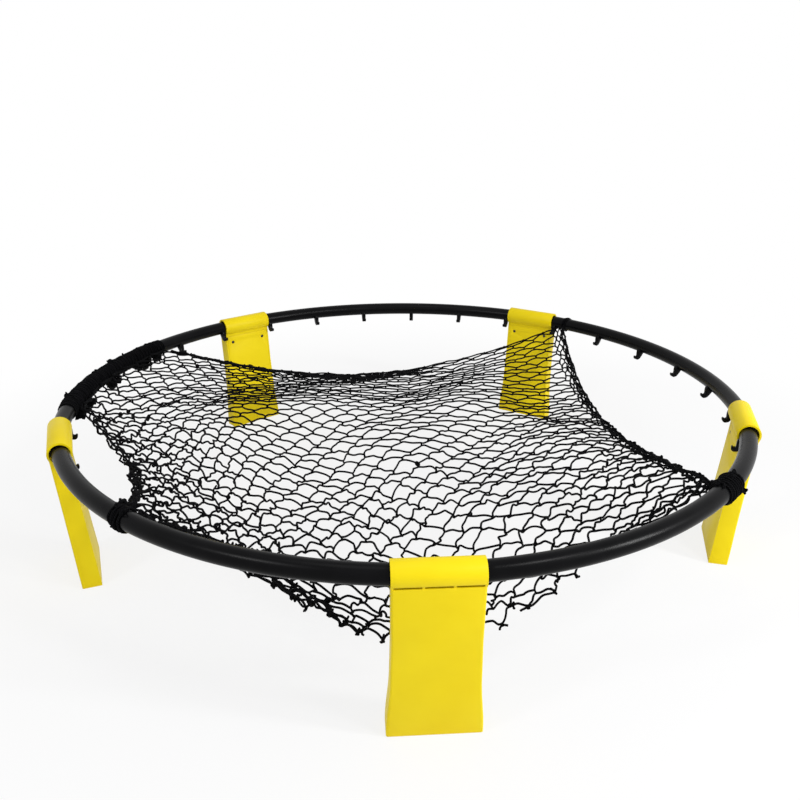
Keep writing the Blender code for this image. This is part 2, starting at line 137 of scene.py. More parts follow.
# %% [markdown]
# ## The studio
#
# The object stands on a white table in front of a white wall, under soft light. A floor lit to pure
# white would need so much light that the yellow would bleach, so the floor only looks white: to the
# camera, and in reflections, its shader mixes in a plain glow, while everything else still meets an
# ordinary pale floor. Near the legs part of it stays a lit surface, so that their soft shadows show, and
# with distance from the object the glow takes over until floor and wall are the same white.

# %% A floor that looks white
FLOOR_HALF, FLOOR_GAP = 14.0, 0.0006
GLOW_NEAR, GLOW_FAR = 0.8, 1.0
SHADOW_REACH, WHITE_REACH = 0.45, 1.05


def seen_directly(tree):
    """1 for rays from the camera, a mirror or a glass, and 0 for the rays that carry light."""
    path = add_node(tree, "ShaderNodeLightPath").outputs
    mirrored = calc(tree, "MAXIMUM", path["Is Camera Ray"], path["Is Glossy Ray"])
    return calc(tree, "MAXIMUM", mirrored, path["Is Transmission Ray"])


def make_floor():
    mesh = bpy.data.meshes.new("studio_floor")
    corners = [(-FLOOR_HALF, -FLOOR_HALF, 0), (FLOOR_HALF, -FLOOR_HALF, 0),
               (FLOOR_HALF, FLOOR_HALF, 0), (-FLOOR_HALF, FLOOR_HALF, 0)]
    mesh.from_pydata(corners, [], [(0, 1, 2, 3)])
    floor = add_object("studio_floor", mesh)
    floor.location.z = -FLOOR_GAP
    paint, tree, lit = plain_material("studio_white", (0.86, 0.86, 0.87), 0.9)
    feed(lit, {"Specular IOR Level": 0.1})
    place = add_node(tree, "ShaderNodeTexCoord")
    away = add_node(tree, "ShaderNodeVectorMath", {0: place.outputs["Object"]}, operation="LENGTH")
    rise = add_node(tree, "ShaderNodeMapRange", {
        "Value": away.outputs["Value"], "From Min": SHADOW_REACH, "From Max": WHITE_REACH,
        "To Min": GLOW_NEAR, "To Max": GLOW_FAR}, interpolation_type="SMOOTHSTEP")
    share = calc(tree, "MULTIPLY", seen_directly(tree), rise.outputs["Result"])
    glow = add_node(tree, "ShaderNodeEmission", {"Strength": 1.0})
    mix = add_node(tree, "ShaderNodeMixShader", {"Fac": share, 1: lit.outputs[0], 2: glow.outputs[0]})
    feed(tree.nodes["Material Output"], {"Surface": mix.outputs[0]})
    mesh.materials.append(paint)


make_floor()
print("floor:", 2 * FLOOR_HALF, "metres wide")

# %% A white sky and soft lamps
SKY_LIGHT, WHITE = 0.42, (1, 1, 1, 1)


def make_sky():
    world = bpy.data.worlds.new("studio_sky")
    bpy.context.scene.world = world
    world.use_nodes = True
    tree = world.node_tree
    dim = tree.nodes["Background"]
    feed(dim, {"Color": WHITE, "Strength": SKY_LIGHT})
    bright = add_node(tree, "ShaderNodeBackground", {"Color": WHITE})
    mix = add_node(tree, "ShaderNodeMixShader",
                   {"Fac": seen_directly(tree), 1: dim.outputs[0], 2: bright.outputs[0]})
    feed(tree.nodes["World Output"], {"Surface": mix.outputs[0]})


def soft_lamp(name, place, aim, width, height, power):
    data = bpy.data.lights.new(name, "AREA")
    data.shape, data.size, data.size_y, data.energy = "RECTANGLE", width, height, power
    lamp = add_object(name, data)
    lamp.location = place
    lamp.rotation_euler = (Vector(aim) - Vector(place)).to_track_quat("-Z", "Y").to_euler()


make_sky()
soft_lamp("ceiling_softbox", (-0.3, -0.3, 2.1), (-0.1, -0.1, 0), 0.9, 0.9, 4)
soft_lamp("right_softbox", (1.52, -0.92, 0.90), (0.2, -0.35, 0.18), 0.2, 0.5, 19)
soft_lamp("high_softbox", (0.80, -1.02, 1.32), (0.1, -0.4, 0.18), 0.25, 0.25, 6)
soft_lamp("left_softbox", (-1.35, -1.2, 1.5), (0, 0, 0.1), 0.35, 0.35, 9)
scene = bpy.context.scene
scene.view_settings.view_transform = "Standard"

# %% [markdown]
# ## The ring's measure
#
# Everything round the rim repeats by angle, so one helper turns an angle into a place and another
# gives the angle of each leg. The same few sizes as in the solids are used here: the scene makes the
# pieces finer and never larger.

# %% Ring sizes and places on it
RING_RADIUS, RING_HEIGHT = 0.447, 0.182
TUBE_RADIUS = 0.0103
LEG_COUNT = 5
LEGS = range(1, LEG_COUNT + 1)
STEP_ANGLE = 360 / LEG_COUNT
UP = Vector((0, 0, 1))


def on_ring(degrees, radius=RING_RADIUS, height=RING_HEIGHT):
    turn = math.radians(degrees)
    return Vector((radius * math.cos(turn), radius * math.sin(turn), height))


def leg_angle(number):
    return -90 + STEP_ANGLE * (number - 1)


def even_turns(count, shift=0):
    """The angles of so many even steps round a circle."""
    return [2 * math.pi * (k + shift) / count for k in range(count)]


print("legs at", [leg_angle(number) for number in LEGS], "degrees")

# %% [markdown]
# ## Black moulded plastic
#
# The tube and its hooks are one black plastic with a satin face. Such a face is never quite even: the
# mould leaves a very fine grain, and handling leaves faint cloudy patches that are a little shinier
# or duller. Noise textures on the object's own coordinates give these, as bump, as roughness and as
# two close tones, so the pattern stays on the tube when it is looked at from another side.

# %% Black plastic
def clouds(tree, scale, detail, low, high):
    """A noise texture between two values, read from the object's own coordinates."""
    place = add_node(tree, "ShaderNodeTexCoord").outputs["Object"]
    pattern = add_node(tree, "ShaderNodeTexNoise", {"Vector": place, "Scale": scale, "Detail": detail})
    spread = add_node(tree, "ShaderNodeMapRange", {
        "Value": pattern.outputs["Fac"], "From Min": 0.3, "From Max": 0.7, "To Min": low, "To Max": high})
    return spread.outputs["Result"]


def add_bump(tree, shader, height, depth, strength):
    bump = add_node(tree, "ShaderNodeBump", {"Height": height, "Distance": depth, "Strength": strength})
    feed(shader, {"Normal": bump.outputs["Normal"]})


def two_tone(tree, shader, factor, dark, light):
    mix = add_node(tree, "ShaderNodeMix", {"Factor": factor, "A": (*dark, 1), "B": (*light, 1)},
                   data_type="RGBA")
    feed(shader, {"Base Color": mix.outputs["Result"]})


def make_black_plastic():
    material, tree, shader = plain_material("black_plastic_satin", (0.004, 0.004, 0.005), 0.34)
    feed(shader, {"Specular IOR Level": 0.07, "Roughness": clouds(tree, 24, 4, 0.25, 0.32)})
    two_tone(tree, shader, clouds(tree, 38, 3, 0, 1), (0.0016, 0.0016, 0.002), (0.0032, 0.0032, 0.0038))
    add_bump(tree, shader, clouds(tree, 1900, 2, 0, 1), 0.00002, 0.4)
    return material


black_plastic = make_black_plastic()
print("made", black_plastic.name)

# %% [markdown]
# ## The rim tubes
#
# Each tube is a fifth of the ring, drawn as a hollow sweep: a circle is carried along the ring, and
# its radius drops at both ends to the thinner spigot that plugs into the next joint. A curve with a
# bevel would do for a plain tube; rings of points make the steps at the ends as sharp as they are.

# %% Skins over rings of points
def edit_mesh(mesh, change):
    """Opens a mesh, hands it to a function that changes it, and writes it back."""
    work = bmesh.new()
    work.from_mesh(mesh)
    change(work)
    work.to_mesh(mesh)
    work.free()
    return mesh


def close_seams(work):
    bmesh.ops.remove_doubles(work, verts=work.verts, dist=1e-6)
    bmesh.ops.recalc_face_normals(work, faces=work.faces)


def skin(name, rings, closed=False):
    """A skin over rings of equal length, capped at both ends or closed on itself."""
    count = len(rings[0])
    points = [tuple(p) for ring in rings for p in ring]
    faces = []
    for level in range(len(rings) if closed else len(rings) - 1):
        low, high = level * count, (level + 1) * count % len(points)
        faces += [(low + k, low + (k + 1) % count, high + (k + 1) % count, high + k) for k in range(count)]
    if not closed:
        faces += [tuple(range(count)), tuple(range(len(points) - count, len(points)))]
    mesh = bpy.data.meshes.new(name)
    mesh.from_pydata(points, [], faces)
    return edit_mesh(mesh, close_seams)


print("skins ready")

# %% Sweep one tube
TUBE_WALL, SPIGOT_RADIUS, SPIGOT_WALL, SPIGOT_LENGTH = 0.0021, 0.0072, 0.0018, 0.0185
SLEEVE_HALF, SEAT_GAP = 0.036, 0.0003
TUBE_SIDES, TUBE_STEPS = 40, 44
END_ROUND = 0.0009


def tube_ring(degrees, radius):
    centre, outward = on_ring(degrees), on_ring(degrees, 1.0, 0.0)
    return [centre + radius * (math.cos(t) * outward + math.sin(t) * UP) for t in even_turns(TUBE_SIDES)]


def rim_tube_mesh(middle):
    to_angle = math.degrees(1 / RING_RADIUS)
    covered = SLEEVE_HALF + SEAT_GAP + TUBE_RADIUS * math.sin(SLEEVE_HALF / RING_RADIUS)
    shoulder = STEP_ANGLE / 2 - covered * to_angle
    tip, soft = shoulder + SPIGOT_LENGTH * to_angle, END_ROUND * to_angle
    stations = [-shoulder + soft + 2 * (shoulder - soft) * k / TUBE_STEPS for k in range(TUBE_STEPS + 1)]
    bore, thin = TUBE_RADIUS - TUBE_WALL, SPIGOT_RADIUS - SPIGOT_WALL
    inner = TUBE_WALL * to_angle
    outside = [(-tip, SPIGOT_RADIUS - END_ROUND / 2), (-tip + soft / 2, SPIGOT_RADIUS),
               (-shoulder, SPIGOT_RADIUS), (-shoulder, TUBE_RADIUS - END_ROUND),
               (-shoulder + soft / 3, TUBE_RADIUS - END_ROUND / 3)]
    outside += [(angle, TUBE_RADIUS) for angle in stations]
    outside += [(-angle, radius) for angle, radius in reversed(outside[:5])]
    inside = [(tip, thin), (shoulder - inner, thin), (shoulder - inner, bore)]
    inside += [(angle, bore) for angle in reversed(stations[2:-2])]
    inside += [(-shoulder + inner, bore), (-shoulder + inner, thin), (-tip, thin)]
    rings = [tube_ring(middle + angle, radius) for angle, radius in outside + inside]
    return skin("rim_tube", rings, closed=True)


print("one tube:", len(rim_tube_mesh(0).polygons), "faces")

# %% [markdown]
# ## The hooks
#
# Six small hooks hang under the inner side of each tube: a stout fin with a sloping gusset behind it
# and a round toe that turns up a little, to catch a mesh of the net. One hook is drawn as a side view,
# given its width and softened with a bevel. Because it then repeats at an even angle, Geometry Nodes
# put the copies in place: points on an arc, one instance on each, and the tube joined in as one piece.

# %% Draw one hook
HOOKS_PER_TUBE = 6
HOOK_SPACING = 11.92
HOOK_WIDTH, HOOK_DROP, HOOK_REACH, HOOK_BITE = 0.0066, 0.0192, 0.0178, 0.0014
HOOK_ROUND = 0.0007
NECK_IN, TOE_TOP = -0.0122, -0.0139


def round_both_faces(work):
    """Bevels the outlines of the hook's two flat faces."""
    rims = [e for e in work.edges if abs(abs(e.verts[0].co.y) - HOOK_WIDTH / 2) < 1e-6
            and e.verts[0].co.y * e.verts[1].co.y > 0]
    bmesh.ops.bevel(work, geom=rims, offset=HOOK_ROUND, segments=2, profile=0.5, affect="EDGES")


def hook_mesh():
    """Local X points outward from the ring, Y along it and Z up, from the middle of the tube."""
    root = TUBE_RADIUS - HOOK_BITE
    upper, lower = math.radians(14), math.radians(80)
    side = [(-root * math.cos(upper), -root * math.sin(upper)), (-0.0050, -root * 0.80),
            (-root * math.cos(lower), -root * math.sin(lower)), (-0.0050, -0.0140),
            (-0.0090, -HOOK_DROP + 0.0003), (-0.0116, -HOOK_DROP - 0.0006), (-0.0140, -HOOK_DROP - 0.0010),
            (-0.0162, -HOOK_DROP - 0.0001), (-HOOK_REACH + 0.0003, -HOOK_DROP + 0.0016),
            (-HOOK_REACH, TOE_TOP - 0.0012), (-HOOK_REACH + 0.0008, TOE_TOP),
            (-HOOK_REACH + 0.0021, TOE_TOP - 0.0002), (-0.0148, TOE_TOP - 0.0010),
            (NECK_IN - 0.0010, TOE_TOP - 0.0011), (NECK_IN, TOE_TOP), (NECK_IN, -0.0080),
            (NECK_IN + 0.0006, -0.0045)]
    rings = [[Vector((x, y * HOOK_WIDTH, z)) for x, z in side] for y in (-0.5, 0.5)]
    return edit_mesh(skin("hook", rings), round_both_faces)


hook_model = bpy.data.objects.new("hook_model", hook_mesh())
print("one hook:", len(hook_model.data.polygons), "faces")

# %% Helpers for Geometry Nodes
def new_tree(name, sockets):
    """An empty geometry tree with named inputs, as (tree, the outputs that carry what was given)."""
    tree = bpy.data.node_groups.new(name, "GeometryNodeTree")
    tree.interface.new_socket("Geometry", in_out="INPUT", socket_type="NodeSocketGeometry")
    for label, kind, value in sockets:
        socket = tree.interface.new_socket(label, in_out="INPUT", socket_type="NodeSocket" + kind)
        if value is not None:
            socket.default_value = value
    tree.interface.new_socket("Geometry", in_out="OUTPUT", socket_type="NodeSocketGeometry")
    return tree, add_node(tree, "NodeGroupInput").outputs


def end_tree(tree, shape, material):
    """Ends a tree: instances become real, everything gets one material, and the result goes out."""
    real = add_node(tree, "GeometryNodeRealizeInstances", {"Geometry": shape})
    paint = add_node(tree, "GeometryNodeSetMaterial", {"Geometry": real.outputs[0], "Material": material})
    add_node(tree, "NodeGroupOutput", {"Geometry": paint.outputs[0]})
    return tree


def copies_at(tree, points, model, **turn_and_size):
    """A copy of an object at each point."""
    shape = add_node(tree, "GeometryNodeObjectInfo", {"Object": model}).outputs["Geometry"]
    return add_node(tree, "GeometryNodeInstanceOnPoints",
                    {"Points": points, "Instance": shape, **turn_and_size}).outputs[0]


def join_shapes(tree, *shapes):
    joined = add_node(tree, "GeometryNodeJoinGeometry")
    for shape in shapes:
        feed(joined, {0: shape})
    return joined.outputs[0]


print("tree helpers ready")

# %% From a tree to a shown piece
def plain_result(base, tools=()):
    """A plain mesh of what an object's modifiers make; the object and its tools are removed."""
    for thing in (base, *tools):
        bpy.context.collection.objects.link(thing)
    graph = bpy.context.evaluated_depsgraph_get()
    mesh = bpy.data.meshes.new_from_object(base.evaluated_get(graph))
    for thing in (base, *tools):
        bpy.data.objects.remove(thing)
    return mesh


def run_tree(tree, base, values, name):
    """The tree applied to a base mesh: a plain mesh, with nothing live left on it."""
    holder = bpy.data.objects.new(name, base)
    step = holder.modifiers.new("made_by_nodes", "NODES")
    step.node_group = tree
    names = {item.name: item.identifier for item in tree.interface.items_tree if item.in_out == "INPUT"}
    for label, value in values.items():
        step[names[label]] = value
    mesh = plain_result(holder)
    mesh.name = name
    return mesh


def make_piece(name, mesh, material, smooth=40):
    """A shown object at the origin, shaded smooth except where its faces meet at a real corner."""
    piece = add_object(name, mesh)
    mesh.materials.clear()
    mesh.materials.append(material)
    mesh.shade_smooth()
    mesh.set_sharp_from_angle(angle=math.radians(smooth))
    return piece


print("piece helpers ready")

# %% Hang six hooks on each tube
def hook_tree():
    tree, ask = new_tree("hooks_on_an_arc", [
        ("Hook", "Object", None), ("Count", "Int", HOOKS_PER_TUBE),
        ("Spacing", "Float", math.radians(HOOK_SPACING)), ("Middle", "Float", 0.0),
        ("Ring radius", "Float", RING_RADIUS), ("Height", "Float", RING_HEIGHT),
        ("Plastic", "Material", None)])
    line = add_node(tree, "GeometryNodeMeshLine", {"Count": ask["Count"], "Offset": (0, 0, 0)})
    number = add_node(tree, "GeometryNodeInputIndex")
    half = calc(tree, "MULTIPLY", calc(tree, "SUBTRACT", ask["Count"], 1.0), 0.5)
    step = calc(tree, "SUBTRACT", number.outputs[0], half)
    angle = calc(tree, "MULTIPLY_ADD", step, ask["Spacing"], ask["Middle"])
    spin = add_node(tree, "ShaderNodeCombineXYZ", {"Z": angle})
    start = add_node(tree, "ShaderNodeCombineXYZ", {"X": ask["Ring radius"], "Z": ask["Height"]})
    there = add_node(tree, "ShaderNodeVectorRotate", {"Vector": start.outputs[0], "Angle": angle},
                     rotation_type="Z_AXIS")
    put = add_node(tree, "GeometryNodeSetPosition",
                   {"Geometry": line.outputs[0], "Position": there.outputs[0]})
    copies = copies_at(tree, put.outputs[0], ask["Hook"], Rotation=spin.outputs[0])
    return end_tree(tree, join_shapes(tree, ask["Geometry"], copies), ask["Plastic"])


hooks_on_an_arc = hook_tree()
for number in LEGS:
    middle = leg_angle(number + 0.5)
    given = {"Hook": hook_model, "Middle": math.radians(middle), "Plastic": black_plastic}
    mesh = run_tree(hooks_on_an_arc, rim_tube_mesh(middle), given, f"hooked_tube_{number}")
    tube = make_piece(f"hooked_tube_{number}", mesh, black_plastic)
    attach(tube, "ring")
    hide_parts(f"rim_tube_{number}")
print("tubes:", LEG_COUNT, "with", HOOKS_PER_TUBE, "hooks each")

# %% [markdown]
# ## Yellow moulded plastic
#
# The legs are moulded in a strong, slightly warm yellow. Under soft light such plastic has a broad,
# dull sheen, a grain too fine to see as single dots, and a faint cloudiness where the melt flowed. It
# is made with the same helpers as the black plastic, with larger clouds and a coarser grain.

# %% Yellow plastic
def make_yellow_plastic():
    material, tree, shader = plain_material("yellow_plastic_moulded", (0.88, 0.69, 0.006), 0.45)
    feed(shader, {"Specular IOR Level": 0.15, "Roughness": clouds(tree, 30, 3, 0.40, 0.50)})
    two_tone(tree, shader, clouds(tree, 16, 4, 0, 1), (0.85, 0.65, 0.003), (0.90, 0.71, 0.008))
    add_bump(tree, shader, clouds(tree, 1500, 2, 0, 1), 0.00005, 0.5)
    return material


yellow_plastic = make_yellow_plastic()
print("made", yellow_plastic.name)

# %% [markdown]
# ## The folding legs
#
# A leg is one moulding: a round cuff that turns on the joint of the ring, and a hollow box below it
# that widens to a foot. Its edges are soft, and between cuff and panel runs a slot in three parts.
# It is built as a maker would think of it: a solid block lofted through a few widths, joined with the
# round cuff, then hollowed, bored and slotted with Booleans, and last its sharp edges are bevelled.

# %% Leg sizes, as in the solids
CUFF_HALF, CUFF_WALL, LEG_WALL = 0.0424, 0.0025, 0.0025
CUFF_BORE = 0.0114 + 0.0004
CUFF_RADIUS = CUFF_BORE + CUFF_WALL
HINGE_RADIUS = RING_RADIUS - CUFF_HALF ** 2 / (4 * RING_RADIUS)
LIP_DROP, LIP_PROUD, CREASE_DROP = 0.0076, 0.0004, 0.0117
FOOT_OUT, FOOT_DEPTH, CORNER_ROUND = 0.0004, 0.0235, 0.0022
WIDTHS = [(0.0, CUFF_HALF), (0.070, 0.0418), (0.130, 0.0432), (0.168, 0.0470), (RING_HEIGHT, 0.0470)]


def half_width(drop):
    """Half the leg's width at a depth below its hinge, on a smooth line through the measured ones."""
    drops, halves = zip(*WIDTHS)
    rough = [float(np.interp(drop + shift, drops, halves)) for shift in (-0.012, -0.006, 0.0, 0.006, 0.012)]
    return sum(rough) / len(rough)


def outer_x(drop):
    lip = CUFF_RADIUS + LIP_PROUD - LIP_DROP ** 2 / (2 * CUFF_RADIUS)
    return lip + (FOOT_OUT - lip) * (drop - LIP_DROP) / (RING_HEIGHT - LIP_DROP)


def inner_x(drop):
    crease = -math.sqrt(CUFF_RADIUS ** 2 - CREASE_DROP ** 2)
    foot = FOOT_OUT - FOOT_DEPTH
    return crease + (foot - crease) * (drop - CREASE_DROP) / (RING_HEIGHT - CREASE_DROP)


def leg_ring(drop, x_in, x_out, half, corner, steps=5):
    """A section of the leg with its two outer corners rounded."""
    turns = [math.pi / 2 * k / steps for k in range(steps + 1)]
    low = [(x_out - corner + corner * math.sin(t), -half + corner - corner * math.cos(t)) for t in turns]
    high = [(x, -y) for x, y in reversed(low)]
    return [Vector((x, y, -drop)) for x, y in [(x_in, -half), *low, *high, (x_in, half)]]


def leg_place(number):
    """Local X outward, Y along the rim, Z up, origin on the leg's hinge."""
    degrees = leg_angle(number)
    return Matrix.Translation(on_ring(degrees, HINGE_RADIUS)) @ Matrix.Rotation(math.radians(degrees), 4, "Z")


print("hinge circle, metres:", round(HINGE_RADIUS, 4))

# %% Tools for hollowing, boring and rounding
WIDEST_ROUND = 0.0015
SHARP_ANGLE = math.radians(28)


def rod(name, radius, start, end, sides):
    axis = (Vector(end) - Vector(start)).normalized()
    side = axis.orthogonal().normalized()
    other = axis.cross(side)
    spokes = [radius * (math.cos(t) * side + math.sin(t) * other) for t in even_turns(sides, 0.5)]
    return skin(name, [[Vector(centre) + spoke for spoke in spokes] for centre in (start, end)])


def box(name, low, high):
    corners = [(low[0], low[1]), (high[0], low[1]), (high[0], high[1]), (low[0], high[1])]
    return skin(name, [[Vector((x, y, z)) for x, y in corners] for z in (low[2], high[2])])


def clean_cuts(work):
    bmesh.ops.remove_doubles(work, verts=work.verts, dist=2e-6)
    bmesh.ops.dissolve_limit(work, angle_limit=math.radians(1), verts=work.verts, edges=work.edges)


def carve(mesh, steps):
    """Joins and cuts a mesh with a list of (operation, mesh), and cleans the result."""
    base, tools = bpy.data.objects.new("work", mesh), []
    for operation, tool_mesh in steps:
        tools.append(bpy.data.objects.new("tool", tool_mesh))
        step = base.modifiers.new("step", "BOOLEAN")
        step.operation, step.solver, step.object = operation, "EXACT", tools[-1]
    return edit_mesh(plain_result(base, tools), clean_cuts)


def soften(mesh, size_of, segments=3):
    """Bevels the sharp edges; size_of gives each edge's rounding from its middle."""
    def weigh(work):
        weights = work.edges.layers.float.new("bevel_weight_edge")
        for edge in work.edges:
            if len(edge.link_faces) == 2 and edge.calc_face_angle(0) > SHARP_ANGLE:
                middle = (edge.verts[0].co + edge.verts[1].co) / 2
                edge[weights] = min(1.0, size_of(middle) / WIDEST_ROUND)

    holder = bpy.data.objects.new("holder", edit_mesh(mesh, weigh))
    bevel = holder.modifiers.new("soft_edges", "BEVEL")
    bevel.width, bevel.segments, bevel.limit_method = WIDEST_ROUND, segments, "WEIGHT"
    bevel.use_clamp_overlap = True
    return plain_result(holder)


print("tools ready")

# %% Sizes inside a leg
SLOT_HEIGHT, SLOT_DEPTH, SLOT_RIB, SLOT_END = 0.0028, 0.0032, 0.0024, 0.0026
SLOT_PARTS = 3
SCREW_SPREAD, SCREW_DROP, SCREW_RADIUS = 0.0295, 0.0270, 0.0013
SCREW_SPOTS = (-SCREW_SPREAD, SCREW_SPREAD)
BOSS_RADIUS, COVER_THICK = 0.0042, 0.0022
ROOF_DROP = CUFF_RADIUS + 0.0015
HOLE_DEPTH, CLEAR = 0.011, 0.01
RIM_ROUND, BORE_ROUND, FOOT_ROUND = 0.0011, 0.0005, 0.0010
SLOT_ROUND, EDGE_ROUND, INSIDE_ROUND = 0.0003, 0.0004, 0.001
DROPS = [0.02, 0.045, 0.058, 0.070, 0.082, 0.10, 0.118,
         0.124, 0.130, 0.136, 0.146, 0.156, 0.162, 0.168, 0.174]


def levels(top, bottom):
    return [top] + [d for d in DROPS if top + 0.002 < d < bottom - 0.002] + [bottom]


def screw_rod(spot, radius, start, end, sides):
    """A rod on the axis of the screw at Y = spot, from one X to another."""
    return rod("screw_rod", radius, (start, spot, -SCREW_DROP), (end, spot, -SCREW_DROP), sides)


print("sections down a leg:", len(levels(LIP_DROP, RING_HEIGHT)))

# %% Mould one leg shell
def leg_shell_mesh():
    body = skin("leg_body", [leg_ring(d, inner_x(d), outer_x(d), half_width(d), CORNER_ROUND)
                             for d in levels(LIP_DROP, RING_HEIGHT)])
    cuff = rod("cuff", CUFF_RADIUS, (0, -CUFF_HALF, 0), (0, CUFF_HALF, 0), 64)
    hollow = skin("hollow", [
        leg_ring(d, inner_x(d) - CLEAR, outer_x(d) - LEG_WALL, half_width(d) - LEG_WALL, INSIDE_ROUND)
        for d in levels(ROOF_DROP, RING_HEIGHT - LEG_WALL)])
    steps = [("UNION", cuff), ("DIFFERENCE", hollow)]
    seat = inner_x(SCREW_DROP - BOSS_RADIUS) + COVER_THICK + SEAT_GAP
    wall = outer_x(SCREW_DROP) - LEG_WALL / 2
    for spot in SCREW_SPOTS:
        steps.append(("UNION", screw_rod(spot, BOSS_RADIUS, seat, wall, 24)))
        hole = screw_rod(spot, SCREW_RADIUS + SEAT_GAP, seat - CLEAR, seat + HOLE_DEPTH, 16)
        steps.append(("DIFFERENCE", hole))
    steps.append(("DIFFERENCE", rod("bore", CUFF_BORE, (0, -0.06, 0), (0, 0.06, 0), 64)))
    length = (2 * (CUFF_HALF - SLOT_END) - (SLOT_PARTS - 1) * SLOT_RIB) / SLOT_PARTS
    for k in range(SLOT_PARTS):
        start = -CUFF_HALF + SLOT_END + k * (length + SLOT_RIB)
        low = (outer_x(LIP_DROP) - LIP_PROUD - SLOT_DEPTH, start, -LIP_DROP)
        steps.append(("DIFFERENCE", box("slot", low, (0.03, start + length, -LIP_DROP + SLOT_HEIGHT))))
    return carve(body, steps)


def shell_edge(spot):
    """How much each edge of the shell is rounded, from where it lies on the leg."""
    if abs(spot.y) > CUFF_HALF - 0.0002 and spot.xz.length < CUFF_RADIUS + 0.0008:
        return RIM_ROUND if spot.xz.length > CUFF_RADIUS - 0.0006 else BORE_ROUND
    if spot.z < -RING_HEIGHT + 0.0004:
        return FOOT_ROUND
    if spot.x > outer_x(LIP_DROP) - 0.004 and abs(spot.z + LIP_DROP - SLOT_HEIGHT / 2) < SLOT_HEIGHT:
        return SLOT_ROUND
    return EDGE_ROUND


shell_model = soften(leg_shell_mesh(), shell_edge)
print("one leg shell:", len(shell_model.polygons), "faces")

# %% [markdown]
# ## Inner covers and their screws
#
# The side of a leg that looks to the middle of the ring is closed by a thin panel, let in flush
# between the side walls and held by two small screws near its top. The panel is lofted through the
# same widths as the shell, less the gap that parts the two mouldings, and its rim is barely rounded.

# %% Cut one cover
SCREW_HEAD, SCREW_HEAD_THICK = 0.0024, 0.0011
COVER_CORNER, COVER_ROUND = 0.0002, 0.0003


def leg_cover_mesh():
    heights = levels(ROOF_DROP + SEAT_GAP, RING_HEIGHT - LEG_WALL - SEAT_GAP)
    plate = skin("leg_cover", [
        leg_ring(d, inner_x(d), inner_x(d) + COVER_THICK, half_width(d) - LEG_WALL - SEAT_GAP,
                 COVER_CORNER, 1) for d in heights])
    face, steps = inner_x(SCREW_DROP), []
    for spot in SCREW_SPOTS:
        for radius, depth in ((SCREW_RADIUS + SEAT_GAP, CLEAR), (SCREW_HEAD + SEAT_GAP, SCREW_HEAD_THICK)):
            steps.append(("DIFFERENCE", screw_rod(spot, radius, face - CLEAR, face + depth, 24)))
    return carve(plate, steps)


cover_model = soften(leg_cover_mesh(), lambda spot: COVER_ROUND, 2)
print("one cover:", len(cover_model.polygons), "faces")

# %% Put shells and covers on the five legs
MODELS = (("leg_moulding", shell_model, "leg_shell"), ("leg_panel", cover_model, "leg_cover"))
for number in LEGS:
    for label, model, node in MODELS:
        mesh = model.copy()
        mesh.transform(leg_place(number))
        piece = make_piece(f"{label}_{number}", mesh, yellow_plastic, 35)
        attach(piece, f"leg_{number}")
        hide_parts(f"{node}_{number}")
print("legs:", LEG_COUNT)

# %% [markdown]
# ## Screws
#
# Each cover has two small black steel screws with a round head and a cross recess. One screw is turned
# as a profile and its recess cut in; Geometry Nodes set a pair of them on each leg.

# %% Turn one screw
BLADE_LONG, BLADE_THIN, RECESS_DEPTH = 0.0013, 0.00028, 0.0006


def screw_mesh():
    """Head outward along -X, its face at x = 0."""
    profile = [(0.0, 0.0014), (0.0001, 0.0020), (0.0003, 0.0023), (0.0005, SCREW_HEAD), (0.0008, SCREW_HEAD),
               (0.0008, SCREW_RADIUS), (0.0086, SCREW_RADIUS), (0.0095, 0.0005)]
    rings = [[Vector((x, r * math.cos(t), r * math.sin(t))) for t in even_turns(20)] for x, r in profile]
    cross = [box("blade", (-0.001, -y, -z), (RECESS_DEPTH, y, z))
             for y, z in ((BLADE_LONG, BLADE_THIN), (BLADE_THIN, BLADE_LONG))]
    return carve(skin("screw", rings), [("DIFFERENCE", blade) for blade in cross])


def make_screw_steel():
    material, tree, shader = plain_material("black_screw_steel", (0.05, 0.048, 0.045), 0.4)
    feed(shader, {"Metallic": 0.9, "Roughness": clouds(tree, 900, 2, 0.30, 0.52)})
    two_tone(tree, shader, clouds(tree, 500, 3, 0, 1), (0.035, 0.034, 0.033), (0.08, 0.075, 0.068))
    return material


screw_steel = make_screw_steel()
screw_model = bpy.data.objects.new("screw_model", screw_mesh())
print("one screw:", len(screw_model.data.polygons), "faces of", screw_steel.name)

# %% Set a pair of screws on each leg
def pair_tree():
    tree, ask = new_tree("pair_on_a_leg", [
        ("Screw", "Object", None), ("Spread", "Float", SCREW_SPREAD), ("Face", "Float", inner_x(SCREW_DROP)),
        ("Drop", "Float", SCREW_DROP), ("Steel", "Material", None)])
    first = add_node(tree, "ShaderNodeCombineXYZ", {
        "X": ask["Face"], "Y": calc(tree, "MULTIPLY", ask["Spread"], -1.0),
        "Z": calc(tree, "MULTIPLY", ask["Drop"], -1.0)})
    step = add_node(tree, "ShaderNodeCombineXYZ", {"Y": calc(tree, "MULTIPLY", ask["Spread"], 2.0)})
    line = add_node(tree, "GeometryNodeMeshLine",
                    {"Count": 2, "Start Location": first.outputs[0], "Offset": step.outputs[0]})
    return end_tree(tree, copies_at(tree, line.outputs[0], ask["Screw"]), ask["Steel"])


pair_on_a_leg = pair_tree()
for number in LEGS:
    given = {"Screw": screw_model, "Steel": screw_steel}
    mesh = run_tree(pair_on_a_leg, bpy.data.meshes.new("start"), given, f"screw_pair_{number}")
    mesh.transform(leg_place(number))
    pair = make_piece(f"screw_pair_{number}", mesh, screw_steel, 30)
    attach(pair, f"leg_{number}")
    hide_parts(f"cover_screw_{number}_left", f"cover_screw_{number}_right")
print("screws:", 2 * LEG_COUNT)

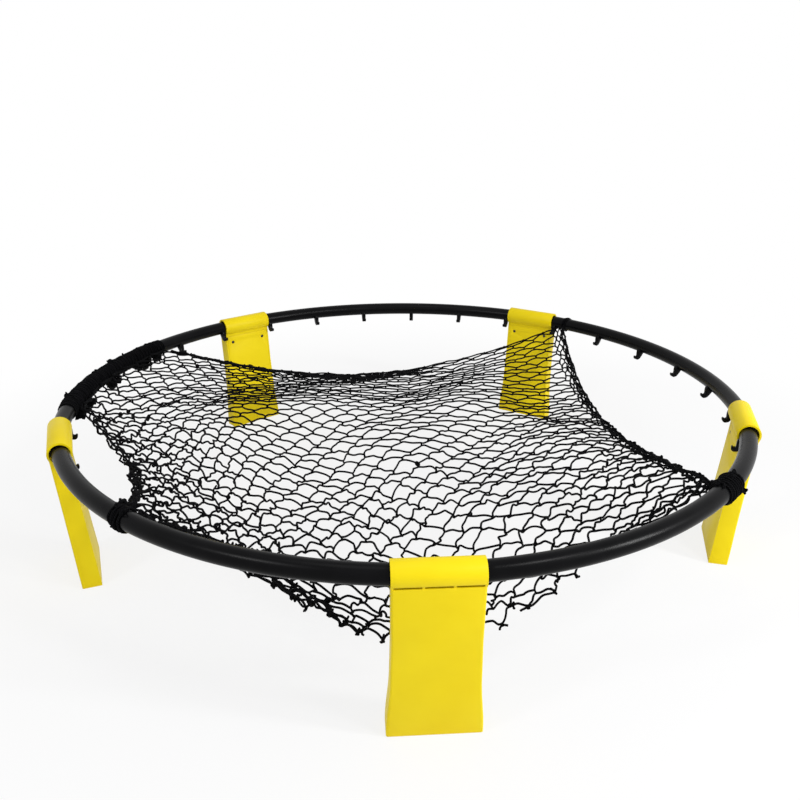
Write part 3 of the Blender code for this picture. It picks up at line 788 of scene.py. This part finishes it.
# %% [markdown]
# ## Sleeves
#
# The straight sleeve inside each cuff is hidden while the set stands. Its solid already has the right
# shape, so it stays, and only takes the black plastic of the tubes.

# %% Dress the sleeves
for number in LEGS:
    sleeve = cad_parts[f"rim_sleeve_{number}"]
    sleeve.data.materials.clear()
    sleeve.data.materials.append(black_plastic)
print("sleeves:", LEG_COUNT)

# %% [markdown]
# ## Net cord
#
# The cord is a thin twisted black twine, dull and slightly hairy. Its strands carry their own length
# and turn as a UV map, and a slanted wave over that map gives the twist as a bump. The same wave
# paints the grooves darker than the ridges, which is painted shade.

# %% Twisted twine
TWINE_RADIUS = 0.00126


def make_net_cord():
    material, tree, shader = plain_material("black_twisted_twine", (0.004, 0.004, 0.005), 0.85)
    feed(shader, {"Sheen Weight": 0.01, "Sheen Roughness": 0.5, "Specular IOR Level": 0.04})
    along = add_node(tree, "ShaderNodeUVMap", uv_map="strand").outputs[0]
    twist_and_groove_shade = add_node(tree, "ShaderNodeTexWave", {"Vector": along, "Scale": 1.0, "Distortion": 0.6},
                     bands_direction="DIAGONAL").outputs["Fac"]
    # Painted shade: the wave that bumps the twist also colours its grooves dark and its ridges light.
    two_tone(tree, shader, twist_and_groove_shade, (0.0012, 0.0012, 0.0015), (0.005, 0.005, 0.006))
    add_bump(tree, shader, twist_and_groove_shade, 0.0003, 0.6)
    return material


net_cord = make_net_cord()
print("made", net_cord.name)

# %% [markdown]
# ## Where the net lies
#
# The net hangs from the ring at its four corners and down its left side. Each edge is a sagging line
# between two ties, and the surface between them is filled by blending the four edges, as a sheet of
# rubber would. Two numbers, u across and v from back to front, name any place on it.

# %% The net's surface
WRAP_GAP, STRAND_WIDTH, WRAP_SIDES = 0.0004, 0.0030, 10
TIE_RADIUS = (TUBE_RADIUS + WRAP_GAP + STRAND_WIDTH / 2) / math.cos(math.pi / WRAP_SIDES)
BACK_CORNERS, FRONT_CORNERS = (150.0, 45.0), (-117.0, -43.0)
LEFT_TIES, LEFT_TIES_LOW = (161.0, 172.0, 183.0), (-134.0, -125.0)
BACK_SAG, RIGHT_SAG, RIGHT_PULL, RIGHT_SKEW = 0.066, 0.059, 0.015, 0.84
LEFT_SAG, LEFT_PULL, LEFT_SKEW = 0.022, 0.025, 1.3
HEM_DROP, HEM_BULGE, HEM_SKEW, HEM_POWER = 0.117, 0.042, 1.39, 1.06
MIDDLE_LIFT, RIPPLE, TIE_ROWS = 0.056, 0.0045, 10
RIPPLE_WAVES = ((9.1, 17.3), (21.7, -8.3), (15.1, 11.9))


def tie_point(degrees):
    return on_ring(degrees, RING_RADIUS - TIE_RADIUS)


def sagging(start, end, share, sag, pull=0.0, skew=1.0):
    """A free edge between two ties, which hangs down and is drawn in to the middle of the net."""
    bow = math.sin(math.pi * share ** skew)
    inward = -(start + end)
    inward.z = 0
    point = start.lerp(end, share) + pull * bow * inward.normalized()
    point.z -= sag * bow
    return point


def back_edge(share):
    return sagging(tie_point(BACK_CORNERS[0]), tie_point(BACK_CORNERS[1]), share, BACK_SAG)


def right_edge(share):
    start, end = tie_point(BACK_CORNERS[1]), tie_point(FRONT_CORNERS[1])
    return sagging(start, end, share, RIGHT_SAG, RIGHT_PULL, RIGHT_SKEW)


def front_edge(share):
    point = tie_point(FRONT_CORNERS[0]).lerp(tie_point(FRONT_CORNERS[1]), share)
    point.z -= HEM_DROP * abs(math.sin(math.pi * (1 - share) ** HEM_SKEW)) ** HEM_POWER
    point.y -= HEM_BULGE * math.sin(math.pi * share)
    return point


def left_edge(share):
    upper, lower = [BACK_CORNERS[0], *LEFT_TIES], [*LEFT_TIES_LOW, FRONT_CORNERS[0]]
    row, last, first = share * TIE_ROWS, len(upper) - 1, TIE_ROWS - len(lower) + 1
    if row <= last:
        k = min(int(row), last - 1)
        return tie_point(upper[k]).lerp(tie_point(upper[k + 1]), row - k)
    if row >= first:
        k = min(int(row) - first, len(lower) - 2)
        return tie_point(lower[k]).lerp(tie_point(lower[k + 1]), row - first - k)
    share = (row - last) / (first - last)
    return sagging(tie_point(upper[-1]), tie_point(lower[0]), share, LEFT_SAG, LEFT_PULL, LEFT_SKEW)


def net_point(u, v):
    corners = (back_edge(0) * (1 - u) + back_edge(1) * u) * (1 - v)
    corners += (front_edge(0) * (1 - u) + front_edge(1) * u) * v
    point = back_edge(u) * (1 - v) + front_edge(u) * v + left_edge(v) * (1 - u) + right_edge(v) * u - corners
    inside = 16 * u * (1 - u) * v * (1 - v)
    point.z += MIDDLE_LIFT * inside
    wave = min(1.0, 3 * inside) * RIPPLE
    point += wave * Vector([math.sin(across * u + down * v) for across, down in RIPPLE_WAVES])
    return point


print("middle of the net, metres:", [round(x, 3) for x in net_point(0.5, 0.5)])

# %% [markdown]
# ## Knots
#
# A knotted net is a lattice of diamonds: every second point of a grid is a knot, and each knot is
# joined to its four diagonal neighbours. The meshes are all cut alike, but they crowd at the left and
# bunch into a dense band at the right and the back, so a few marks say how far so many meshes reach.
# Slack knots wander a little. Each knot is a small upright bar, so besides its place it keeps a
# direction, and the way in which the net falls there.

# %% Lay out the knots
NET_ACROSS, NET_DOWN = 50, 48
MARKS_ACROSS = [(0, 0.0), (8, 0.25), (13.5, 0.5), (22.5, 0.972), (25, 1.0)]
MARKS_DOWN = [(0, 0.0), (2, 0.042), (7, 0.174), (8.2, 0.212), (21, 0.89), (24, 1.0)]
KNOT_HALF = 0.0019
KNOT_WANDER, KNOT_SLACK = 0.0006, 0.0014
BAR_UP, BAR_BACK, BAR_WANDER, BAR_SLACK = 0.85, 0.5, 0.16, 0.30
SEED = 7
chance = random.Random(SEED)


def clamp(value):
    return min(1.0, max(0.0, value))


def reach(marks, meshes):
    """The share of the way across or down that so many meshes reach."""
    return float(np.interp(meshes, *zip(*marks)))


def way_down(u, meshes):
    """How far down so many meshes reach: they gather along the middle of the back edge only."""
    even = 2 * meshes / NET_DOWN
    gathered = clamp((u - 0.05) / 0.2) * clamp((0.9 - u) / 0.35)
    return even + (reach(MARKS_DOWN, meshes) - even) * gathered


def slack_at(u, v):
    """How loose the strands are, from 0 taut to 1: least at the back and right, most at the front left."""
    front = clamp((v - 0.12) / 0.62)
    left = max(0.0, 1 - u / 0.3) * min(1.0, v / 0.4)
    right = max(0.0, (u - 0.55) / 0.45)
    return min(1.0, (0.2 + 0.8 * front ** 2) * (1 - 0.5 * right) + 0.6 * left)


def jitter(size):
    return Vector([chance.gauss(0, size) for _ in range(3)])


def lay_knots():
    """Each knot by its grid place, as (place, half bar, way down, looseness)."""
    knots = {}
    for i in range(NET_ACROSS + 1):
        for j in range(NET_DOWN + 1):
            if (i + j) % 2:
                continue
            u = reach(MARKS_ACROSS, i / 2)
            v = way_down(u, j / 2)
            loose = slack_at(u, v)
            down = (net_point(u, min(1, v + 0.01)) - net_point(u, max(0, v - 0.01))).normalized()
            bar = BAR_UP * UP - BAR_BACK * down + jitter(BAR_WANDER + BAR_SLACK * loose)
            place = net_point(u, v) + jitter(KNOT_WANDER + KNOT_SLACK * loose)
            knots[i, j] = (place, bar.normalized() * KNOT_HALF, down, loose)
    return knots


knots = lay_knots()
print("knots:", len(knots))

# %% [markdown]
# ## Strands
#
# Two strands run in at the top of a knot and two leave from its foot. A slack strand first runs out
# sideways and drops late, so the meshes look like fish scales, and it has kinks left over from the
# knotting. Each strand is a row of points. At the hem the twine was cut, which leaves short ends, and
# along the edges and at the left the slack turns into small loops.

# %% Run the strands from knot to knot
STRAND_POINTS = 7
STRAND_WANDER, STRAND_SLACK = 0.0003, 0.0015
WAVE_SHARES = (1.2, 1.7, 2.8)


def strand(start, end, down, loose):
    whole = end - start
    fall = down * whole.dot(down)
    late = chance.uniform(1.0 + 0.5 * loose, 1.15 + 1.4 * loose)
    size = STRAND_WANDER + STRAND_SLACK * loose
    waves = [jitter(size / share) for share in WAVE_SHARES]
    points = []
    for k in range(STRAND_POINTS):
        t = k / (STRAND_POINTS - 1)
        bend = sum((wave * math.sin(math.pi * (n + 1) * t) for n, wave in enumerate(waves)), Vector())
        points.append(start + (whole - fall) * t + fall * t ** late + bend)
    return points


def join_knots():
    """A strand to each diagonal neighbour, and along the edges to every second knot."""
    strands = []
    for (i, j), (place, bar, down, loose) in knots.items():
        for side in (i - 1, i + 1):
            if (side, j + 1) in knots:
                other = knots[side, j + 1]
                strands.append(strand(place - bar, other[0] + other[1], down, (loose + other[3]) / 2))
        if i in (0, NET_ACROSS) and (i, j + 2) in knots:
            strands.append(strand(place - bar, knots[i, j + 2][0], down, loose))
        hemmed = j == NET_DOWN and chance.random() < (1.0 if i > 36 else 0.45)
        if (j == 0 or hemmed) and (i + 2, j) in knots:
            strands.append(strand(place, knots[i + 2, j][0], down, loose))
    return strands


net_twines = join_knots()
print("strands:", len(net_twines))

# %% Short ends, loops and the twines that gather along the edges
def short_end(place, length):
    way = jitter(1.0).normalized() * length
    curl = jitter(length * 0.3)
    return [place + way * t + curl * math.sin(2.2 * t) for t in (0, 0.33, 0.67, 1)]


def loop(place, radius):
    """A small open loop that begins and ends at a knot."""
    flat, up = jitter(1.0).normalized(), (UP + jitter(0.4)).normalized()
    turns = [2 * math.pi * k / 9 - math.pi / 2 for k in range(10)]
    middle = place + up * radius
    return [middle + radius * (math.cos(t) * flat + math.sin(t) * up) for t in turns]


def edge_twine(edge, start, end, inside, wobble, steps):
    """Short lengths of a twine along an edge of the net; inside is how far it lies from the edge."""
    points, phase = [], chance.uniform(0, 6)
    for k in range(steps + 1):
        share = start + (end - start) * k / steps
        spot = edge(share)
        centre = Vector((-spot.x, -spot.y, 0)).normalized()
        swing = math.sin(phase + 0.9 * k) + 0.6 * math.sin(2.1 * phase + 1.7 * k)
        points.append(spot + centre * (inside + 0.5 * wobble * swing) + jitter(wobble * 0.45))
    return [points[k:k + 3] for k in range(0, steps - 1, 2)]


for (i, j), (place, bar, down, loose) in knots.items():
    if j == NET_DOWN or j == NET_DOWN - 1 and i % 4 == 1:
        net_twines += [short_end(place, chance.uniform(0.003, 0.007)) for _ in range(2)]
    # Loops crowd near the left edge, are fewer along the hem, and rare in the rest of the slack net.
    crumpled = j > 14 and chance.random() < max(0.28 * (1 - i / 11), 0.08 * (j > 40 and i < 36))
    if crumpled or chance.random() < 0.02 * loose:
        net_twines.append(loop(place, chance.uniform(0.0016, 0.0030)))
for n in range(3):
    net_twines += edge_twine(left_edge, 0.30, 0.80, 0.001 + 0.003 * n, 0.0026, 46)
    net_twines += edge_twine(left_edge, 0.55, 0.80, 0.002 + 0.004 * n, 0.0036, 30)
    net_twines += edge_twine(right_edge, 0.01, 0.99, 0.001 + 0.004 * n, 0.0022, 80)
    net_twines += edge_twine(front_edge, 0.76, 0.99, -0.002 + 0.006 * n, 0.0030, 32)
for n in range(4):
    net_twines += edge_twine(back_edge, 0.01, 0.62, 0.004 + 0.006 * n, 0.0022, 70)
print("twines with ends, loops and edges:", len(net_twines))

# %% [markdown]
# ## From points to twine
#
# So far there are only rows of points. Geometry Nodes turn every row into a smooth curve and sweep a
# small circle along it, and set a lumpy little bar on every knot, turned to the direction that the
# knot carries. Both come from one mesh: its edges are the strands and its loose points the knots.

# %% One lumpy knot
KNOT_WAIST, KNOT_LEVELS = 0.0015, 6


def knot_mesh():
    rings = []
    for level in range(KNOT_LEVELS):
        lift = -1 + 2 * level / (KNOT_LEVELS - 1)
        wide = math.sqrt(max(0.12, 1 - lift * lift)) * (1.12 if level in (1, 4) else 0.95)
        rings.append([Vector((KNOT_WAIST * wide * math.cos(t), KNOT_WAIST * wide * math.sin(t),
                              KNOT_HALF * 1.15 * lift)) for t in even_turns(8, 0.5 * level)])
    return skin("knot", rings)


knot_model = bpy.data.objects.new("knot_model", knot_mesh())
print("one knot:", len(knot_model.data.polygons), "faces")

# %% The twine tree
def mark_spline(tree, curve, name, measure):
    """Keeps how far along its curve each point lies, as (curve, the kept number)."""
    kept = add_node(tree, "GeometryNodeCaptureAttribute", {"Geometry": curve})
    kept.capture_items.new("FLOAT", name)
    feed(kept, {name: add_node(tree, "GeometryNodeSplineParameter").outputs[measure]})
    return kept.outputs[0], kept.outputs[name]


def stored(tree, name, kind):
    """A number or direction that the mesh's points carry."""
    node = add_node(tree, "GeometryNodeInputNamedAttribute", {"Name": name}, data_type=kind)
    return node.outputs["Attribute"]


def twine_tree():
    tree, ask = new_tree("twine_from_points", [
        ("Radius", "Float", TWINE_RADIUS), ("Sides", "Int", 6), ("Smoothness", "Int", 2),
        ("Twist per metre", "Float", 260.0), ("Knot", "Object", None), ("Seed", "Int", SEED),
        ("Twine", "Material", None)])
    rows = add_node(tree, "GeometryNodeMeshToCurve", {"Mesh": ask["Geometry"]})
    bent = add_node(tree, "GeometryNodeCurveSplineType", {"Curve": rows.outputs[0]},
                    spline_type="CATMULL_ROM")
    fine = add_node(tree, "GeometryNodeSetSplineResolution",
                    {"Geometry": bent.outputs[0], "Resolution": ask["Smoothness"]})
    line, along = mark_spline(tree, fine.outputs[0], "Along", "Length")
    circle = add_node(tree, "GeometryNodeCurvePrimitiveCircle",
                      {"Resolution": ask["Sides"], "Radius": ask["Radius"]}, mode="RADIUS")
    ring, around = mark_spline(tree, circle.outputs[0], "Around", "Factor")
    swept = add_node(tree, "GeometryNodeCurveToMesh",
                     {"Curve": line, "Profile Curve": ring, "Fill Caps": True})
    turns = calc(tree, "MULTIPLY", along, ask["Twist per metre"])
    flat = add_node(tree, "ShaderNodeCombineXYZ", {"X": turns, "Y": around})
    mapped = add_node(tree, "GeometryNodeStoreNamedAttribute",
                      {"Geometry": swept.outputs[0], "Name": "strand", "Value": flat.outputs[0]},
                      data_type="FLOAT2", domain="CORNER")
    spots = add_node(tree, "GeometryNodeMeshToPoints",
                     {"Mesh": ask["Geometry"], "Selection": stored(tree, "is_knot", "BOOLEAN")})
    turned = add_node(tree, "FunctionNodeAlignRotationToVector",
                      {"Vector": stored(tree, "bar", "FLOAT_VECTOR")}, axis="Z")
    size = add_node(tree, "FunctionNodeRandomValue", {2: 0.85, 3: 1.25, "Seed": ask["Seed"]},
                    data_type="FLOAT")
    lumps = copies_at(tree, spots.outputs[0], ask["Knot"], Rotation=turned.outputs[0], Scale=size.outputs[1])
    return end_tree(tree, join_shapes(tree, mapped.outputs[0], lumps), ask["Twine"])


twine_from_points = twine_tree()
print("twine tree:", len(twine_from_points.nodes), "nodes")

# %% A piece of twine
def twine_piece(name, rows, bars=(), radius=TWINE_RADIUS):
    """Twine along rows of points, with a knot at each of bars, which are (place, half bar)."""
    points = [tuple(p) for row in rows for p in row] + [tuple(place) for place, _ in bars]
    edges, first = [], 0
    for row in rows:
        edges += [(first + k, first + k + 1) for k in range(len(row) - 1)]
        first += len(row)
    mesh = bpy.data.meshes.new(name)
    mesh.from_pydata(points, edges, [])
    is_knot = mesh.attributes.new("is_knot", "BOOLEAN", "POINT")
    is_knot.data.foreach_set("value", [n >= first for n in range(len(points))])
    directions = [0.0, 0.0, 1.0] * first + [x for _, bar in bars for x in bar]
    mesh.attributes.new("bar", "FLOAT_VECTOR", "POINT").data.foreach_set("vector", directions)
    given = {"Radius": radius, "Knot": knot_model, "Twine": net_cord}
    piece = make_piece(name, run_tree(twine_from_points, mesh, given, name), net_cord, 60)
    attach(piece, "ring")
    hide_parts("net")
    return piece


print("twine helper ready")

# %% [markdown]
# ## Room for the folding legs
#
# A leg that folds swings up under the slack net and lifts it. The net near each leg is therefore made
# as pieces of their own. Above the folded leg lies a sloping plane, and the net that lies below it near
# the leg is shared out in lanes by its distance from the leg's side, each lane a piece of its own. The
# rest of the net is one piece.

# %% Share the net out in lanes over the legs
PLANE_LIFT, PLANE_SLOPE = 0.0130, 0.172
LANE_START, LANE_WIDTH, LANE_COUNT = 0.056, 0.0070, 13


def over_leg(number, point):
    """Where a point is for a leg: (inwards from its hinge, sideways, below the plane)."""
    degrees = leg_angle(number)
    outward, aside = on_ring(degrees, 1.0, 0.0), on_ring(degrees + 90, 1.0, 0.0)
    inwards = HINGE_RADIUS - point.dot(outward)
    return inwards, point.dot(aside), RING_HEIGHT + PLANE_LIFT - PLANE_SLOPE * inwards - point.z


def lane_of(point):
    """The leg and lane that a point goes with, or None."""
    best = None
    for number in LEGS:
        inwards, aside, below = over_leg(number, point)
        lane = max(0, 1 + int((abs(aside) - LANE_START) // LANE_WIDTH))
        if inwards > HINGE_RADIUS * 1.1 or below < 0 or lane >= LANE_COUNT:
            continue
        if best is None or abs(aside) < best[0]:
            best = (abs(aside), number, lane)
    return best and best[1:]


def lane_of_row(row):
    """A twine goes with the lane of whichever of its ends or middle lies nearest to a leg."""
    found = [lane for lane in (lane_of(row[0]), lane_of(row[len(row) // 2]), lane_of(row[-1])) if lane]
    return min(found, key=lambda lane: lane[1], default=None)


def share_out():
    lanes = {}
    for row in net_twines:
        lanes.setdefault(lane_of_row(row), ([], []))[0].append(row)
    for place, bar, *_ in knots.values():
        lanes.setdefault(lane_of(place), ([], []))[1].append((place, bar))
    return lanes


lanes = share_out()
print("net pieces:", len(lanes))

# %% Make the net
def make_net():
    for key, (rows, bars) in lanes.items():
        if key is None:
            twine_piece("net_at_rest", rows, bars)
            continue
        number, lane = key
        piece = twine_piece(f"net_over_leg_{number}_lane_{lane}", rows, bars)
        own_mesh(piece)


make_net()
print("net made")

# %% [markdown]
# ## Windings
#
# The net is tied to the tube by twine wound round it: a long knobbly winding at the left, a short one
# at the front left, a tight band of turns at the right and a single tie at the back. A winding is a
# helix that follows the ring. Its pitch and distance from the tube vary, and tangles hang from it.

# %% Ways to wind and to tangle
WIND_RADIUS = 0.00105
WINDINGS = [
    # from, to, pitch, distance from the tube, roughness, hand
    (149, 186, 3.6e-3, 0.0007, 0.0003), (150, 185, 7e-3, 0.0012, 0.0006, -1),
    (-133.5, -131.5, 3.6e-3, 0.0006, 0.0004), (-133, -131, 5e-3, 0.0014, 0.0008, -1),
    (-46.2, -41.2, 3.6e-3, 0.0009, 0.0002), (-45.8, -41.8, 4.4e-3, 0.0024, 0.0004),
    (44.7, 45.7, 3e-3, 0.0010, 0.0003)]
BIG_TANGLES = (152, 155, 158, 166, 168, 178, 181, 184)
SMALL_TANGLES = ((164, -0.004, -0.011), (181, -0.007, -0.009), (-134, 0.010, -0.008),
                 (-132, 0.013, 0.004), (-44, 0.013, -0.002), (-42, -0.012, 0.004))
LOOP_PLACES = (-46, -44, -42, 150, 160, 170, 183, -134, -132)


def winding(start, end, pitch, lift, rough, hand=1):
    """Points round the tube from one angle to another; lift is the height of the twine's middle over it."""
    length = math.radians(end - start) * RING_RADIUS
    count, phase = max(8, int(10 * length / pitch)), chance.uniform(0, 6)
    points = []
    for k in range(count + 1):
        share = k / count
        turn = phase + hand * 2 * math.pi * length * share / pitch + 0.35 * math.sin(phase + 37 * share)
        away = TUBE_RADIUS + lift + abs(chance.gauss(0, rough))
        degrees = start + (end - start) * share + chance.gauss(0, rough * 60)
        outward = on_ring(degrees, 1.0, 0.0)
        points.append(on_ring(degrees) + away * (math.cos(turn) * outward + math.sin(turn) * UP))
    return points


def tangle(place, size, turns=7):
    """A knotted clump of twine: a closed figure whose three swings never meet again in step."""
    swings = [(scale, chance.uniform(0, 6), rate) for scale, rate in ((1.0, 0.83), (1.0, 1.13), (0.8, 1.41))]
    return [place + Vector([size * scale * math.sin(phase + rate * k) for scale, phase, rate in swings])
            for k in range(turns * 8)]


def by_tube(degrees, inside, drop):
    return on_ring(degrees, RING_RADIUS - inside, RING_HEIGHT - drop)


print("windings planned:", len(WINDINGS))

# %% Wind twine round the tube
wound = [winding(*one) for one in WINDINGS]
wound += [tangle(by_tube(degrees, 0.0125, 0.011), 0.0055) for degrees in BIG_TANGLES]
wound += [tangle(by_tube(*spot), 0.0036, 5) for spot in SMALL_TANGLES]
for n in range(18):
    wound.append(tangle(by_tube(-135 + 1.4 * n, 0.0095, -0.0060 + 0.006 * chance.random()), 0.0034, 4))
for _ in range(14):
    degrees = chance.choice(LOOP_PLACES) + chance.uniform(-1.0, 1.0)
    spot = on_ring(degrees, RING_RADIUS + chance.uniform(-0.006, 0.006), RING_HEIGHT + 0.009)
    wound.append(loop(spot, chance.uniform(0.0018, 0.0030)))
twine_piece("windings", wound, radius=WIND_RADIUS)
print("windings:", len(wound))
